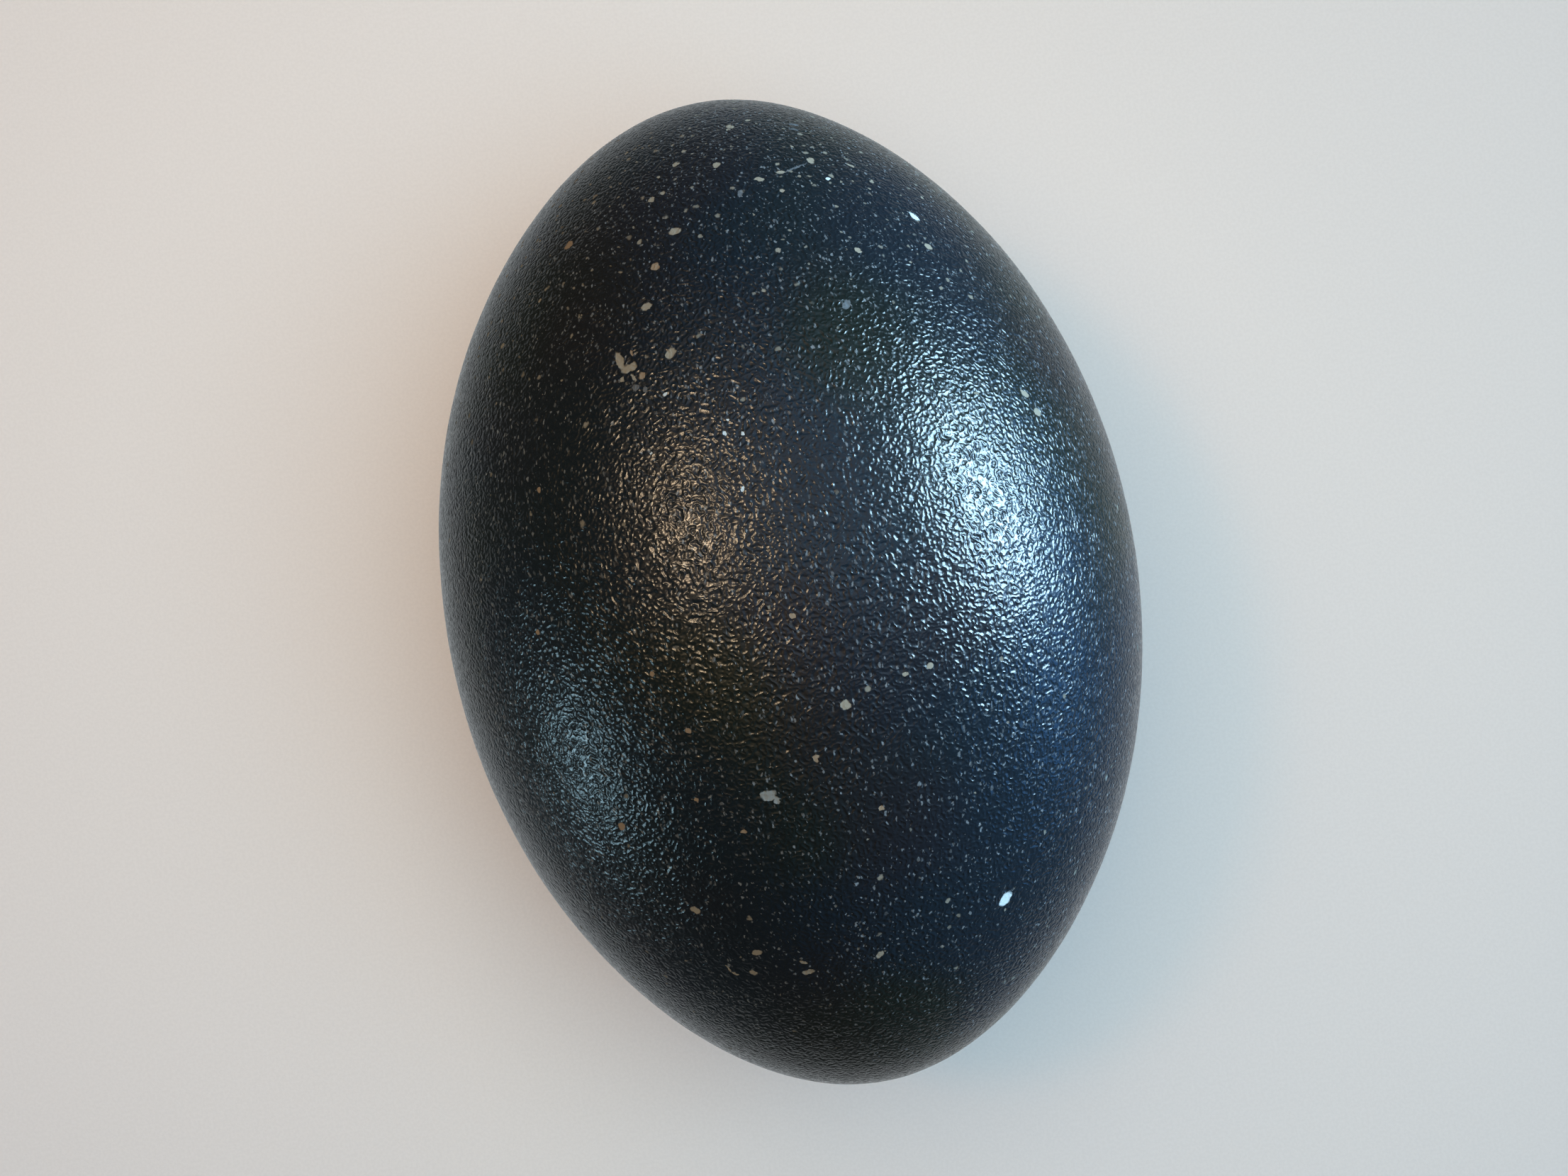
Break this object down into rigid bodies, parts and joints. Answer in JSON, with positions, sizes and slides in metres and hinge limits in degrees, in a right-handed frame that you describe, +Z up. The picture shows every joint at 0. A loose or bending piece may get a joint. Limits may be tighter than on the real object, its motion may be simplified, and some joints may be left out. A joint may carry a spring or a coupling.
{
  "type": "emu egg",
  "caption": "Near-black emu egg lying on its side, with a finely granular satin-gloss shell, scattered pale flecks and a small flat spot to rest on.",
  "frame": {"origin": "on the small flat spot that the egg rests on, under the middle of its length", "axes": "+Y along the egg's level long axis, towards its slightly fuller end; +Z up; +X across the egg"},
  "size_m": [0.09, 0.13, 0.0898],
  "materials": {
    "shell": "satin-gloss calcite eggshell, near-black blue-green, finely granular, with scattered cream flecks"
  },
  "bodies": {
    "root": {"emu_egg": "shell"}
  },
  "joints": []
}
